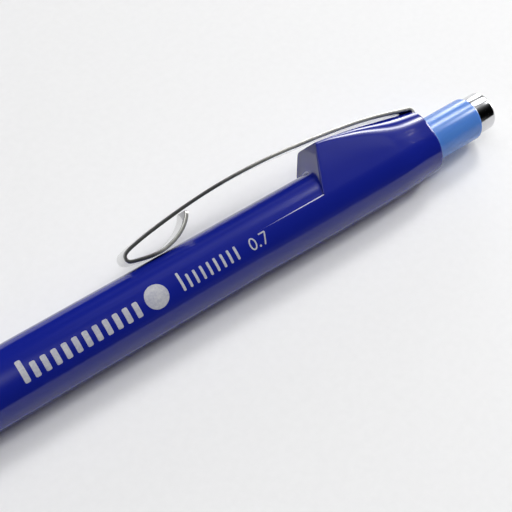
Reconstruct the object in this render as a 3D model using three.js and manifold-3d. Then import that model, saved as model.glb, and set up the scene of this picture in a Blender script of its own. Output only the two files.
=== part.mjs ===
// Mechanical pencil for 0.7 mm lead, lying on a table with its clip raised.
// Units are millimetres. The row frame has +X towards the push button,
// +Z up, Z = 0 on the table and the origin under the middle of the object.
//
// Every piece is drawn first in the pencil's own frame: x runs along the axis
// from the writing tip (x = 0) to the end of the button cap, z points from the
// axis towards the clip and y completes the right-handed set. One group then
// turns the whole pencil about its axis, so that one flat of the grip faces
// down, and lays it on Z = 0.

import * as THREE from 'three';
import { mergeVertices } from 'three/addons/utils/BufferGeometryUtils.js';
import Module from 'manifold-3d';

const wasm = await Module();
wasm.setup();

// ---------------------------------------------------------------- dimensions
const LENGTH = 143.0;            // tip of the guide pipe to end of button cap
const BARREL_R = 4.6;            // round barrel, outside
const CLIP_TURN_DEG = 60;        // clip direction, measured from straight up
const AXIS_Y = -1.97;            // centres the bounding box on Y = 0
const LEAD_R = 0.345;            // lead in use and spare leads
const SEG = 36;                  // facets around the outer pieces
const SEG_IN = 24;               // facets around the inner pieces

const GRIP_X0 = 17.95, GRIP_X1 = 49.8;   // rubber grip
const GRIP_CORNER_R = 5.1;               // corners of the three-sided grip
const CORE_R = 3.6;                      // barrel core under the grip
const BORE_R = 3.0;                      // main bore
const REAR_BORE_R = 3.38;                // bore that guides the button
const REAR_BORE_X0 = 113.2;
const REAR_X = 130.76;                   // rear face of the barrel
const REAR_R = 4.38;                     // barrel radius at its rear face

const HOOD_TOP_X0 = 113.96;              // front upper edge of the clip hood
const HOOD_TOP_H = 7.75;
const HOOD_HALF_TOP = 3.2;               // half width of the hood at the top
const HOOD_HALF_BOTTOM = 4.82;           // half width where it meets the shell

const CLIP_WIDTH = 4.1;
const CLIP_T = 0.45;
const CLIP_TAIL_WIDTH = 3.0;

const BUTTON_R = 3.31, BUTTON_X0 = 117.2, BUTTON_X1 = 139.81;
const CAP_R = 2.96, CAP_SKIRT_R = 2.66;
const BUTTON_TRAVEL = 3.5;               // stroke of the push button

// ------------------------------------------------------------------- helpers
function solidGeometry(source) {
  // one closed, outward-facing, indexed geometry with shared vertices
  let g = source.clone();
  for (const name of Object.keys(g.attributes)) if (name !== 'position') g.deleteAttribute(name);
  g = mergeVertices(g, 1e-4);
  const p = g.attributes.position;
  const src = g.index.array;
  const kept = [];
  let volume = 0;
  const a = new THREE.Vector3(), b = new THREE.Vector3(), c = new THREE.Vector3();
  for (let i = 0; i < src.length; i += 3) {
    const [i0, i1, i2] = [src[i], src[i + 1], src[i + 2]];
    if (i0 === i1 || i1 === i2 || i0 === i2) continue;
    kept.push(i0, i1, i2);
    a.fromBufferAttribute(p, i0); b.fromBufferAttribute(p, i1); c.fromBufferAttribute(p, i2);
    volume += a.dot(b.cross(c)) / 6;
  }
  if (volume < 0) for (let i = 0; i < kept.length; i += 3) [kept[i + 1], kept[i + 2]] = [kept[i + 2], kept[i + 1]];
  g.setIndex(kept);
  return g;
}

function toSolid(geometry) {
  const g = solidGeometry(geometry);
  return new wasm.Manifold(new wasm.Mesh({
    numProp: 3,
    vertProperties: new Float32Array(g.attributes.position.array),
    triVerts: new Uint32Array(g.index.array),
  }));
}

function toGeometry(solid) {
  const m = solid.getMesh();
  const g = new THREE.BufferGeometry();
  const v = new Float32Array(m.numVert * 3);
  for (let i = 0; i < m.numVert; i++) for (let k = 0; k < 3; k++) v[3 * i + k] = m.vertProperties[i * m.numProp + k];
  g.setAttribute('position', new THREE.BufferAttribute(v, 3));
  g.setIndex(new THREE.BufferAttribute(new Uint32Array(m.triVerts), 1));
  return g;
}

// body of revolution about the pencil's axis from [x, r] pairs; a profile
// that does not touch the axis closes on itself
function turned(profile, segments = SEG) {
  const pts = profile.map(([x, r]) => new THREE.Vector2(r, x));
  const onAxis = profile[0][1] === 0 && profile[profile.length - 1][1] === 0;
  if (!onAxis) pts.push(pts[0].clone());
  const g = new THREE.LatheGeometry(pts, segments);
  g.rotateZ(-Math.PI / 2);
  return solidGeometry(g);
}

function shapeOf(points) {
  return new THREE.Shape(points.map(([u, v]) => new THREE.Vector2(u, v)));
}

// outline in x-z, thickness along y from y0 to y1
function slabXZ(points, y0, y1) {
  const g = new THREE.ExtrudeGeometry(shapeOf(points), { depth: y1 - y0, bevelEnabled: false, steps: 1 });
  g.rotateX(Math.PI / 2);
  g.translate(0, y1, 0);
  return g;
}

// outline in y-z, length along x from x0 to x1
function slabYZ(points, x0, x1) {
  const g = new THREE.ExtrudeGeometry(shapeOf(points), { depth: x1 - x0, bevelEnabled: false, steps: 1 });
  g.applyMatrix4(new THREE.Matrix4().makeBasis(
    new THREE.Vector3(0, 1, 0), new THREE.Vector3(0, 0, 1), new THREE.Vector3(1, 0, 0)));
  g.translate(x0, 0, 0);
  return g;
}

// outline in x-y, height along z from z0 to z1
function slabXY(points, z0, z1) {
  const g = new THREE.ExtrudeGeometry(shapeOf(points), { depth: z1 - z0, bevelEnabled: false, steps: 1 });
  g.translate(0, 0, z0);
  return g;
}

function block(x0, x1, y0, y1, z0, z1) {
  const g = new THREE.BoxGeometry(x1 - x0, y1 - y0, z1 - z0);
  g.translate((x0 + x1) / 2, (y0 + y1) / 2, (z0 + z1) / 2);
  return g;
}

// three flats at the barrel's own radius, one facing the clip
function threeFlats(x0, x1) {
  const k = BARREL_R * 2;
  const pts = [60, 180, 300].map((d) => {
    const a = THREE.MathUtils.degToRad(d);
    return [k * Math.sin(a), k * Math.cos(a)];
  });
  return slabYZ(pts, x0, x1);
}

// ---------------------------------------------------------------- materials
const mat = (color, roughness, metalness) => new THREE.MeshStandardMaterial({ color, roughness, metalness });
const M = {
  barrel: mat(0x1c2a94, 0.12, 0.0),
  grip: mat(0x15204f, 0.75, 0.0),
  cone: mat(0xb9bcc2, 0.25, 1.0),
  steel: mat(0xc9ccd0, 0.2, 1.0),
  brass: mat(0xb8974a, 0.35, 1.0),
  lead: mat(0x2b2b2e, 0.5, 0.1),
  soft: mat(0x2a2a2a, 0.8, 0.0),
  plastic: mat(0xe8e8e4, 0.4, 0.0),
  tube: mat(0xd8dce4, 0.3, 0.0),
  button: mat(0x6ea0ea, 0.2, 0.0),
  chrome: mat(0xe6e7ea, 0.06, 1.0),
  eraser: mat(0xf2f1ec, 0.85, 0.0),
};

const pencil = new THREE.Group();
function piece(name, geometry, material) {
  const g = solidGeometry(geometry);
  g.computeVertexNormals();
  const mesh = new THREE.Mesh(g, material.clone());
  mesh.name = name;
  pencil.add(mesh);
  return mesh;
}

// -------------------------------------------------------------------- barrel
// round tube with the core for the grip in front
const tube = toSolid(turned([
  [GRIP_X0, 0], [GRIP_X0, CORE_R], [GRIP_X1 + 0.15, CORE_R], [GRIP_X1 + 0.15, 4.45], [GRIP_X1 + 0.35, BARREL_R],
  [125.6, BARREL_R], [128.0, REAR_R], [REAR_X - 0.12, REAR_R], [REAR_X, REAR_R - 0.12], [REAR_X, 0],
]));

// lower shell: stands 0.2 mm proud along the sides and fades out forward;
// two flats keep it level with the barrel where the pencil lies
const shellRing = toSolid(turned([
  [98.8, 4.0], [98.8, 4.605], [110.2, 4.82], [123.6, 4.82], [125.6, 4.71], [128.3, 4.5], [130.3, REAR_R + 0.02],
  [130.3, 4.0],
]));
const belowCrease = toSolid(slabXZ([
  [98, -6], [131, -6], [131, 1.07], [98, 1.07],
], -6, 6));
const shell = shellRing.intersect(belowCrease).intersect(toSolid(threeFlats(98, 131)));

// clip hood: raked, slightly bulged front face, sides that lean inwards and a
// top that falls to the rear under the clip
const front = [];
for (let i = 0; i <= 8; i++) {
  const h = (HOOD_TOP_H - 0.02) * i / 8;
  front.push([109.85 + 0.41 * h + 0.0125 * h * h, h]);
}
const side = toSolid(slabXZ([
  ...front,
  [HOOD_TOP_X0 + 0.3, HOOD_TOP_H], [115.5, 7.55], [118.7, 7.26], [121.9, 6.78], [124.86, 6.3], [127.36, 5.78],
  [129.86, 5.22], [REAR_X, 5.03], [REAR_X, 0],
].reverse(), -6, 6));
const section = toSolid(slabYZ([
  [-HOOD_HALF_BOTTOM, -0.2], [HOOD_HALF_BOTTOM, -0.2], [HOOD_HALF_BOTTOM, 0.6],
  [HOOD_HALF_TOP + 0.1, 7.4], [HOOD_HALF_TOP - 0.3, 8.0],
  [-HOOD_HALF_TOP + 0.3, 8.0], [-HOOD_HALF_TOP - 0.1, 7.4], [-HOOD_HALF_BOTTOM, 0.6],
], 105, 133));
const crown = toSolid(turned([
  [105, 0], [105, 9.0], [HOOD_TOP_X0, 8.5], [117.9, 7.85], [122.4, 7.05], [125.5, 6.35], [128.3, 5.75], [REAR_X, 5.25],
  [REAR_X, 0],
], SEG));
const plan = toSolid(slabXY([
  [105, -HOOD_HALF_BOTTOM], [123.8, -HOOD_HALF_BOTTOM], [125.6, -4.71], [128.3, -4.5], [REAR_X, -REAR_R + 0.02],
  [REAR_X, REAR_R - 0.02], [128.3, 4.5], [125.6, 4.71], [123.8, HOOD_HALF_BOTTOM], [105, HOOD_HALF_BOTTOM],
], -1, 10));
const hood = side.intersect(section).intersect(crown).intersect(plan);

const bore = toSolid(turned([
  [GRIP_X0 - 1, 0], [GRIP_X0 - 1, BORE_R], [REAR_BORE_X0, BORE_R], [REAR_BORE_X0, REAR_BORE_R],
  [REAR_X + 1, REAR_BORE_R], [REAR_X + 1, 0],
]));
// notch and slot for the root of the clip
const notch = toSolid(block(130.38, REAR_X + 1, -CLIP_WIDTH / 2 - 0.25, CLIP_WIDTH / 2 + 0.25, 3.7, 9));
const slot = toSolid(block(127.7, REAR_X + 1, -CLIP_TAIL_WIDTH / 2 - 0.2, CLIP_TAIL_WIDTH / 2 + 0.2, 3.7, 4.6));
const barrel = tube.add(shell).add(hood).subtract(bore).subtract(notch).subtract(slot);
piece('barrel', toGeometry(barrel), M.barrel);

// ---------------------------------------------------------------------- clip
// centre line of the bent strip: tail in the slot, bend over the rear face,
// arm bowed over the barrel, fold at the tip and the curled-up end
const clipLine = [
  [127.96, 4.15], [129.2, 4.15], [130.35, 4.15], [130.62, 4.21], [130.79, 4.36], [130.835, 4.6], [130.835, 5.0],
  [130.8, 5.3], [130.62, 5.5], [130.3, 5.6], [129.6, 5.755], [127.36, 6.32], [124.86, 6.86], [121.93, 7.39], [118.69, 7.86],
  [115.51, 8.22], [112.39, 8.55], [109.32, 8.82], [106.32, 8.965], [103.36, 9.03], [100.46, 9.02], [97.61, 8.91],
  [94.81, 8.705], [92.05, 8.42], [89.34, 8.1], [86.67, 7.7], [84.6, 7.31], [83.55, 7.04], [83.05, 6.76], [82.8, 6.37],
  [82.87, 5.96], [83.2, 5.66], [84.0, 5.42], [85.04, 5.19], [85.95, 5.03], [86.9, 4.94], [87.9, 4.97], [89.1, 5.2],
  [90.2, 5.56], [91.12, 6.01], [91.9, 6.55], [92.48, 7.1], [92.82, 7.55], [93.02, 8.0],
];
function offsetLine(line, d) {
  return line.map((p, i) => {
    const a = line[Math.max(0, i - 1)], b = line[Math.min(line.length - 1, i + 1)];
    const tx = b[0] - a[0], tz = b[1] - a[1];
    const n = Math.hypot(tx, tz);
    return [p[0] - d * tz / n, p[1] + d * tx / n];
  });
}
const clipOutline = [...offsetLine(clipLine, CLIP_T / 2), ...offsetLine(clipLine, -CLIP_T / 2).reverse()];
const clipStrip = toSolid(slabXZ(clipOutline, -CLIP_WIDTH / 2, CLIP_WIDTH / 2));
const tailCutA = toSolid(block(127, 130.45, CLIP_TAIL_WIDTH / 2, 4, 3, 5.0));
const tailCutB = toSolid(block(127, 130.45, -4, -CLIP_TAIL_WIDTH / 2, 3, 5.0));
piece('clip', toGeometry(clipStrip.subtract(tailCutA).subtract(tailCutB)), M.steel);

// ---------------------------------------------------------------------- grip
const gripBody = toSolid(turned([
  [GRIP_X0, 0], [GRIP_X0, 4.2], [18.3, 4.4], [20.0, 4.85], [21.0, GRIP_CORNER_R],
  [22.2, GRIP_CORNER_R], [22.5, 4.42], [23.1, 4.42], [23.4, GRIP_CORNER_R],
  [24.8, GRIP_CORNER_R], [25.1, 4.42], [25.7, 4.42], [26.0, GRIP_CORNER_R],
  [27.4, GRIP_CORNER_R], [27.7, 4.42], [28.3, 4.42], [28.6, GRIP_CORNER_R],
  [47.5, GRIP_CORNER_R], [49.4, 4.7], [GRIP_X1, 4.5], [GRIP_X1, 0],
]));
const gripBore = toSolid(turned([[GRIP_X0 - 1, 0], [GRIP_X0 - 1, CORE_R + 0.08], [GRIP_X1 + 1, CORE_R + 0.08], [GRIP_X1 + 1, 0]]));
piece('grip_sleeve', toGeometry(gripBody.intersect(toSolid(threeFlats(GRIP_X0 - 1, GRIP_X1 + 1))).subtract(gripBore)), M.grip);

// ---------------------------------------------------------------------- nose
piece('front_cone', turned([
  [3.2, 0.62], [3.2, 1.15], [3.6, 1.45], [4.4, 1.75], [7.0, 2.45], [10.0, 3.05], [14.0, 3.75], [17.75, 4.2],
  [17.75, 2.9], [27.0, 2.9], [27.0, 2.35], [10.3, 2.35], [10.3, 1.5], [5.2, 1.5], [5.2, 0.62],
]), M.cone);
piece('guide_pipe', turned([[0, 0.4], [0, 0.55], [6.25, 0.55], [6.25, 0.4]], 16), M.steel);
piece('pipe_holder', turned([[5.3, 0.59], [5.3, 1.4], [7.9, 1.4], [7.9, 1.06], [6.35, 1.06], [6.35, 0.59]], 16), M.brass);
piece('lead_retainer', turned([[6.45, 0.38], [6.45, 1.0], [7.8, 1.0], [7.8, 0.38]], 16), M.soft);
piece('lead', turned([[0.25, 0], [0.25, LEAD_R], [62, LEAD_R], [62, 0]], 16), M.lead);

// ----------------------------------------------------------------- mechanism
let chuck = toSolid(turned([[14.0, 0.42], [14.0, 1.85], [14.9, 2.0], [17.2, 1.25], [27.0, 1.2], [27.0, 0.42]], SEG_IN));
for (const d of [0, 120, 240]) {
  const cut = block(13, 22, -0.15, 0.15, 0, 3);
  cut.rotateX(THREE.MathUtils.degToRad(d));
  chuck = chuck.subtract(toSolid(cut));
}
piece('chuck', toGeometry(chuck), M.brass);
piece('clutch_ring', turned([[15.4, 1.97], [15.4, 2.25], [17.55, 2.25], [17.55, 1.38], [17.15, 1.4]], SEG_IN), M.brass);
piece('chuck_housing', turned([
  [17.8, 1.32], [17.8, 2.25], [27.3, 2.25], [27.3, 2.9], [29.3, 2.9], [29.3, 2.3], [33.0, 2.3], [33.0, 1.95],
  [18.8, 1.95], [18.8, 1.32],
], SEG_IN), M.plastic);

class Coil extends THREE.Curve {
  getPoint(t, target = new THREE.Vector3()) {
    const turns = 9, a = 2 * Math.PI * turns * t;
    return target.set(19.1 + 11.6 * t, 1.7 * Math.sin(a), 1.7 * Math.cos(a));
  }
}
const wire = new THREE.Shape();
for (let i = 0; i < 6; i++) {
  const a = i * Math.PI / 3;
  if (i === 0) wire.moveTo(0.15 * Math.cos(a), 0.15 * Math.sin(a));
  else wire.lineTo(0.15 * Math.cos(a), 0.15 * Math.sin(a));
}
piece('return_spring', new THREE.ExtrudeGeometry(wire, { steps: 126, bevelEnabled: false, extrudePath: new Coil() }), M.steel);

piece('chuck_connector', turned([
  [24.0, 1.26], [24.0, 1.48], [31.0, 1.48], [31.0, 1.85], [32.0, 1.85], [32.0, 1.62], [42.0, 1.62], [42.0, 1.2],
  [40.5, 0.5], [27.2, 0.5], [27.2, 1.26],
], SEG_IN), M.plastic);
piece('lead_reservoir', turned([[37.3, 1.7], [37.3, 2.2], [123.6, 2.2], [123.6, 1.7]], SEG_IN), M.tube);

// spare leads lie together on the low side of the reservoir
[87, 120, 153].forEach((d, i) => {
  const a = THREE.MathUtils.degToRad(d);
  const mesh = piece(`spare_lead_${i + 1}`, turned([[52 + i, 0], [52 + i, LEAD_R], [112 + i, LEAD_R], [112 + i, 0]], 12), M.lead);
  mesh.position.set(0, 1.27 * Math.sin(a), 1.27 * Math.cos(a));
});

// -------------------------------------------------------------- rear pieces
piece('push_button', turned([
  [BUTTON_X0, 2.27], [BUTTON_X0, 3.2], [BUTTON_X0 + 0.3, BUTTON_R], [BUTTON_X1 - 0.15, BUTTON_R], [BUTTON_X1, 3.16],
  [BUTTON_X1, 2.78], [126.2, 2.78], [126.2, 1.75], [124.0, 1.75], [124.0, 2.27],
]), M.button);
piece('eraser_holder', turned([
  [126.4, 0.6], [126.4, 2.68], [131.0, 2.68], [131.0, 2.22], [127.2, 2.22], [127.2, 0.6],
]), M.plastic);
piece('eraser', turned([[127.35, 0], [127.35, 2.12], [140.1, 2.12], [140.4, 1.85], [140.4, 0]], SEG_IN), M.eraser);
piece('button_cap', turned([
  [141.3, 0], [141.3, 2.3], [134.4, 2.3], [134.4, CAP_SKIRT_R], [139.92, CAP_SKIRT_R], [139.92, CAP_R],
  [142.55, CAP_R], [142.88, 2.84], [LENGTH, 2.55], [LENGTH, 0],
]), M.chrome);

// ------------------------------------------------------------------ assembly
pencil.position.set(-LENGTH / 2, AXIS_Y, BARREL_R);
pencil.rotation.x = -THREE.MathUtils.degToRad(CLIP_TURN_DEG);
const group = new THREE.Group();
group.name = 'mechanical_pencil';
group.add(pencil);

export default group;
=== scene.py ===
"""Mechanical pencil lying on a pale table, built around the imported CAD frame.

The pieces are drawn in the pencil's own frame (millimetres): t runs along the axis from the writing
tip, z points from the axis towards the clip, y completes the right-handed set. row() turns that into
the row frame in metres.
"""

import math

import bmesh
import bpy
import numpy as np
from mathutils import Matrix, Vector


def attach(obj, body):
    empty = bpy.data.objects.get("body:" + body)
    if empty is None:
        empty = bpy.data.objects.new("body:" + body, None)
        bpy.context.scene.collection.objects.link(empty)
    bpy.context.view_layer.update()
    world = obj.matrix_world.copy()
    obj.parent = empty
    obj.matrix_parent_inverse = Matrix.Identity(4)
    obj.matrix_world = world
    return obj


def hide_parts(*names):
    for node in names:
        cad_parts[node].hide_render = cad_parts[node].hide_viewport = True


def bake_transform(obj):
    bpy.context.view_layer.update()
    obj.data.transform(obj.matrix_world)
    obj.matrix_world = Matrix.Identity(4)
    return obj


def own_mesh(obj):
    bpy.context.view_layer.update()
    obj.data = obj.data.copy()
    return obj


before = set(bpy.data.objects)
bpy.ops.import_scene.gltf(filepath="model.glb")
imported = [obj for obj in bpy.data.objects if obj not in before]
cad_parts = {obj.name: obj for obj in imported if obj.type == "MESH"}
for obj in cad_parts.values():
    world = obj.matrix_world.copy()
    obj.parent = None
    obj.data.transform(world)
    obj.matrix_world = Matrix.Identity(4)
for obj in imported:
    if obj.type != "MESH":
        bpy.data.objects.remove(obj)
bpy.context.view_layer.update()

# ------------------------------------------------------------------- camera
cam_data = bpy.data.cameras.new("photo_camera")
cam_data.sensor_fit = "HORIZONTAL"
cam_data.sensor_width = 36.0
cam_data.lens = 950.0 / 512.0 * 36.0
cam_data.clip_start = 0.004
cam_data.clip_end = 20.0
camera = bpy.data.objects.new("photo_camera", cam_data)
bpy.context.scene.collection.objects.link(camera)
c_right = Vector((0.80368921, -0.59209882, 0.05918311))
c_up = Vector((0.46860447, 0.69106879, 0.55030335))
c_fwd = Vector((0.36673356, 0.41453939, -0.83286469))
m = Matrix.Identity(4)
for k in range(3):
    m[k][0], m[k][1], m[k][2] = c_right[k], c_up[k], -c_fwd[k]
m[0][3], m[1][3], m[2][3] = -0.019345, -0.056805, 0.110615
camera.matrix_world = m
bpy.context.scene.camera = camera

# --------------------------------------------------------------- dimensions
LENGTH = 143.0
AXIS_Y, AXIS_Z = -1.97, 4.6
BARREL_R = 4.6
REAR_X = 130.76
CLIP_T = 0.50
C60, S60 = 0.5, math.sqrt(3) / 2
rad = math.radians


def row(t, y, z):
    """Pencil frame (mm) to row frame (m)."""
    t, y, z = np.broadcast_arrays(np.asarray(t, float), np.asarray(y, float), np.asarray(z, float))
    return np.stack([t - LENGTH / 2, C60 * y + S60 * z + AXIS_Y, -S60 * y + C60 * z + AXIS_Z], -1) * 1e-3


def polar(t, r, a):
    """a is the angle from the clip direction towards +y, in radians."""
    return row(t, np.asarray(r) * np.sin(a), np.asarray(r) * np.cos(a))


def fillet(points, radius, n=4, closed=True):
    """Rounds the corners of a polyline; radius is one number or one per point."""
    pts = [np.array(p, float) for p in points]
    count = len(pts)
    rads = list(radius) if hasattr(radius, "__len__") else [radius] * count
    out = []
    for i, b in enumerate(pts):
        if rads[i] <= 0 or (not closed and i in (0, count - 1)):
            out.append(b)
            continue
        a, c = pts[i - 1], pts[(i + 1) % count]
        u, v = a - b, c - b
        lu, lv = np.hypot(*u), np.hypot(*v)
        if lu < 1e-9 or lv < 1e-9:
            out.append(b)
            continue
        u, v = u / lu, v / lv
        ang = math.acos(max(-1, min(1, float(u @ v))))
        if ang > math.pi - 0.02 or ang < 0.02:
            out.append(b)
            continue
        d = min(rads[i] / math.tan(ang / 2), 0.45 * lu, 0.45 * lv)
        rr = d * math.tan(ang / 2)
        s, e = b + u * d, b + v * d
        ctr = b + (u + v) / np.hypot(*(u + v)) * rr / math.sin(ang / 2)
        a0 = math.atan2(*(s - ctr)[::-1])
        a1 = math.atan2(*(e - ctr)[::-1])
        da = (a1 - a0 + math.pi) % (2 * math.pi) - math.pi
        for k in range(n + 1):
            w = a0 + da * k / n
            out.append(ctr + rr * np.array([math.cos(w), math.sin(w)]))
    return np.array(out)


def densify(points, step, closed=True):
    """Adds points on long straight stretches."""
    pts = np.asarray(points, float)
    out = []
    last = len(pts) if closed else len(pts) - 1
    for i in range(last):
        a, b = pts[i], pts[(i + 1) % len(pts)]
        n = max(1, int(math.ceil(np.linalg.norm(b - a) / step)))
        for k in range(n):
            out.append(a + (b - a) * k / n)
    if not closed:
        out.append(pts[-1])
    return np.array(out)


def new_object(name, verts, faces, smooth_deg=38.0):
    me = bpy.data.meshes.new(name)
    me.from_pydata([tuple(v) for v in np.asarray(verts)], [], [tuple(f) for f in faces])
    bm = bmesh.new()
    bm.from_mesh(me)
    bmesh.ops.remove_doubles(bm, verts=bm.verts, dist=2e-7)
    bmesh.ops.dissolve_degenerate(bm, dist=1e-7, edges=bm.edges)
    bmesh.ops.recalc_face_normals(bm, faces=bm.faces)
    if bm.calc_volume(signed=True) < 0:
        bmesh.ops.reverse_faces(bm, faces=bm.faces)
    bm.to_mesh(me)
    bm.free()
    me.update()
    finish_shading(me, smooth_deg)
    o = bpy.data.objects.new(name, me)
    bpy.context.scene.collection.objects.link(o)
    return o


def finish_shading(me, smooth_deg):
    me.shade_smooth()
    me.set_sharp_from_angle(angle=rad(smooth_deg))


def grid_faces(n, m, close_i, close_j, base=0):
    faces = []
    for i in range(n if close_i else n - 1):
        i2 = (i + 1) % n
        for j in range(m if close_j else m - 1):
            j2 = (j + 1) % m
            faces.append((base + i * m + j, base + i2 * m + j, base + i2 * m + j2, base + i * m + j2))
    return faces


def lathe(name, profile, seg=96, offset=(0.0, 0.0), smooth_deg=38.0):
    """Body of revolution from a closed [t, r] profile; ends on the axis become poles."""
    prof = np.asarray(profile, float)
    on_axis = prof[0][1] < 1e-9 and prof[-1][1] < 1e-9
    a = np.arange(seg) * 2 * math.pi / seg
    if on_axis:
        ring = prof[1:-1]
    else:
        ring = prof
    t = ring[:, 0][:, None] * np.ones(seg)[None, :]
    y = ring[:, 1][:, None] * np.sin(a)[None, :] + offset[0]
    z = ring[:, 1][:, None] * np.cos(a)[None, :] + offset[1]
    P = row(t, y, z).reshape(-1, 3)
    faces = grid_faces(len(ring), seg, not on_axis, True)
    if on_axis:
        P = np.vstack([P, row(prof[0][0], offset[0], offset[1]), row(prof[-1][0], offset[0], offset[1])])
        i0, i1 = len(P) - 2, len(P) - 1
        last = (len(ring) - 1) * seg
        for j in range(seg):
            j2 = (j + 1) % seg
            faces.append((i0, j, j2))
            faces.append((i1, last + j2, last + j))
    return new_object(name, P, faces, smooth_deg)


def cubic(xs, ys):
    """Natural cubic spline through points, as a function."""
    xs, ys = np.asarray(xs, float), np.asarray(ys, float)
    n = len(xs)
    h = np.diff(xs)
    A = np.zeros((n, n))
    rhs = np.zeros(n)
    A[0, 0] = A[-1, -1] = 1
    for i in range(1, n - 1):
        A[i, i - 1], A[i, i], A[i, i + 1] = h[i - 1], 2 * (h[i - 1] + h[i]), h[i]
        rhs[i] = 6 * ((ys[i + 1] - ys[i]) / h[i] - (ys[i] - ys[i - 1]) / h[i - 1])
    M = np.linalg.solve(A, rhs)

    def f(x):
        x = np.asarray(x, float)
        k = np.clip(np.searchsorted(xs, x) - 1, 0, n - 2)
        d = x - xs[k]
        hk = h[k]
        e = hk - d
        return (M[k] * e ** 3 + M[k + 1] * d ** 3) / (6 * hk) + (ys[k] / hk - M[k] * hk / 6) * e + (
            ys[k + 1] / hk - M[k + 1] * hk / 6) * d

    return f


def smooth_curve(points, step, passes=1):
    """Smooth open curve through 2-D points, resampled evenly along its length."""
    pts = np.asarray(points, float)
    s = np.r_[0, np.cumsum(np.sqrt(np.linalg.norm(np.diff(pts, axis=0), axis=1)))]
    fx, fy = cubic(s, pts[:, 0]), cubic(s, pts[:, 1])
    u = np.linspace(0, s[-1], 6000)
    c = np.stack([fx(u), fy(u)], -1)
    for _ in range(passes):
        L = np.r_[0, np.cumsum(np.linalg.norm(np.diff(c, axis=0), axis=1))]
        n = max(8, int(round(L[-1] / step)))
        q = np.linspace(0, L[-1], n + 1)
        c = np.stack([np.interp(q, L, c[:, 0]), np.interp(q, L, c[:, 1])], -1)
    return c


def boolean(obj, cutters, operation="DIFFERENCE", smooth_deg=38.0):
    """Exact boolean, applied."""
    for c in cutters:
        mod = obj.modifiers.new("cut", "BOOLEAN")
        mod.operation = operation
        mod.solver = "EXACT"
        mod.object = c
        bpy.context.view_layer.update()
        dg = bpy.context.evaluated_depsgraph_get()
        me = bpy.data.meshes.new_from_object(obj.evaluated_get(dg))
        obj.modifiers.clear()
        old = obj.data
        obj.data = me
        bpy.data.meshes.remove(old)
    for c in cutters:
        bpy.data.objects.remove(c)
    bm = bmesh.new()
    bm.from_mesh(obj.data)
    bmesh.ops.remove_doubles(bm, verts=bm.verts, dist=1e-7)
    bmesh.ops.dissolve_degenerate(bm, dist=1e-7, edges=bm.edges)
    bm.to_mesh(obj.data)
    bm.free()
    finish_shading(obj.data, smooth_deg)
    return obj


def slab(name, t0, t1, y0, y1, z0, z1, r=0.12, turn=0.0):
    """Box with rounded long edges in the pencil frame, used as a cutter; turn is about the axis."""
    outline = fillet([(y0, z0), (y1, z0), (y1, z1), (y0, z1)], r, 4)
    ca, sa = math.cos(turn), math.sin(turn)
    yy = outline[:, 0] * ca + outline[:, 1] * sa
    zz = -outline[:, 0] * sa + outline[:, 1] * ca
    P = np.vstack([row(t0, yy, zz), row(t1, yy, zz)])
    n = len(outline)
    faces = grid_faces(2, n, False, True)
    faces.append(tuple(range(n)))
    faces.append(tuple(range(2 * n - 1, n - 1, -1)))
    return new_object(name, P, faces)


# ---------------------------------------------------------------- materials
def node_mat(name):
    mat = bpy.data.materials.new(name)
    mat.use_nodes = True
    nt = mat.node_tree
    nt.nodes.clear()
    out = nt.nodes.new("ShaderNodeOutputMaterial")
    b = nt.nodes.new("ShaderNodeBsdfPrincipled")
    nt.links.new(b.outputs[0], out.inputs[0])
    return mat, nt, b


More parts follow.
